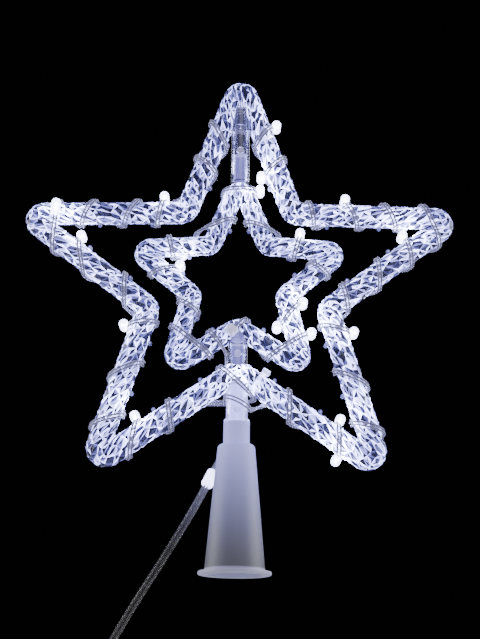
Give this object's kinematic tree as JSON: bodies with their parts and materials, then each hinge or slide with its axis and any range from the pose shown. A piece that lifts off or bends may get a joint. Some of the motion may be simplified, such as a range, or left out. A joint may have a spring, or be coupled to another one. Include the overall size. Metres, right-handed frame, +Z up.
{
  "type": "christmas tree topper star",
  "caption": "Lighted tree topper: a star inside a star of clear faceted tube, wound with a string of white lights, on a white cone that slips over the tree's tip.",
  "frame": {"origin": "centre of the cone's open mouth, at the underside of its flange", "axes": "+Z up through both stars to the apex, -Y the front that faces the room, +X to the viewer's right"},
  "size_m": [0.2376, 0.0569, 0.3954],
  "materials": {
    "cone_white": "gloss",
    "outer_star_acrylic": "faceted clear acrylic",
    "inner_star_acrylic": "faceted clear acrylic",
    "tube_clear": "smooth clear acrylic",
    "plug_clear": "smooth clear acrylic",
    "pin_clear": "smooth clear acrylic",
    "wire_pvc": "clear sleeve over copper",
    "light_lens": "clear, lit",
    "light_chip": "lit",
    "end_cap_milky": "milky",
    "strap_plastic": "satin",
    "connector_plastic": "satin",
    "contact_metal": "polished"
  },
  "bodies": {
    "base": {"base_cone": "cone_white"},
    "plug": {"base_plug": "plug_clear", "base_sleeve": "tube_clear", "base_pin": "pin_clear"},
    "star": {"apex_plug": "plug_clear", "coil_strap": "strap_plastic", "connector_body": "connector_plastic", "connector_pins": "contact_metal", "ear_pins": "pin_clear", "hub_plug": "plug_clear", "inner_front_shell": "inner_star_acrylic", "inner_light_21": "light_lens", "inner_light_22": "light_lens", "inner_light_23": "light_lens", "inner_light_24": "light_lens", "inner_light_25": "light_lens", "inner_light_26": "light_lens", "inner_light_27": "light_lens", "inner_light_28": "light_lens", "inner_rear_shell": "inner_star_acrylic", "inner_wire": "wire_pvc", "lead_cable": "wire_pvc", "lead_coil": "wire_pvc", "lead_light": "light_lens", "left_light_01": "light_lens", "left_light_02": "light_lens", "left_light_03": "light_lens", "left_light_04": "light_lens", "left_light_05": "light_lens", "left_light_06": "light_lens", "left_light_07": "light_lens", "left_light_08": "light_lens", "left_light_09": "light_lens", "left_wire": "wire_pvc", "light_chips": "light_chip", "link_pins": "pin_clear", "lower_link_tube": "tube_clear", "outer_front_shell": "outer_star_acrylic", "outer_rear_shell": "outer_star_acrylic", "right_light_10": "light_lens", "right_light_11": "light_lens", "right_light_12": "light_lens", "right_light_13": "light_lens", "right_light_14": "light_lens", "right_light_15": "light_lens", "right_light_16": "light_lens", "right_light_17": "light_lens", "right_light_18": "light_lens", "right_light_19": "light_lens", "right_light_20": "light_lens", "right_wire": "wire_pvc", "string_end_cap": "end_cap_milky", "upper_link_tube": "tube_clear", "upper_peg": "plug_clear"}
  },
  "joints": [
    {"name": "plug_slide", "type": "slide", "parent": "base", "child": "plug", "axis": [0, 0, 1], "range_m": [0, 0.01]},
    {"name": "star_turn", "type": "hinge", "parent": "plug", "child": "star", "pos_m": [0, 0, 0.09], "axis": [0, 0, 1], "continuous": true}
  ]
}
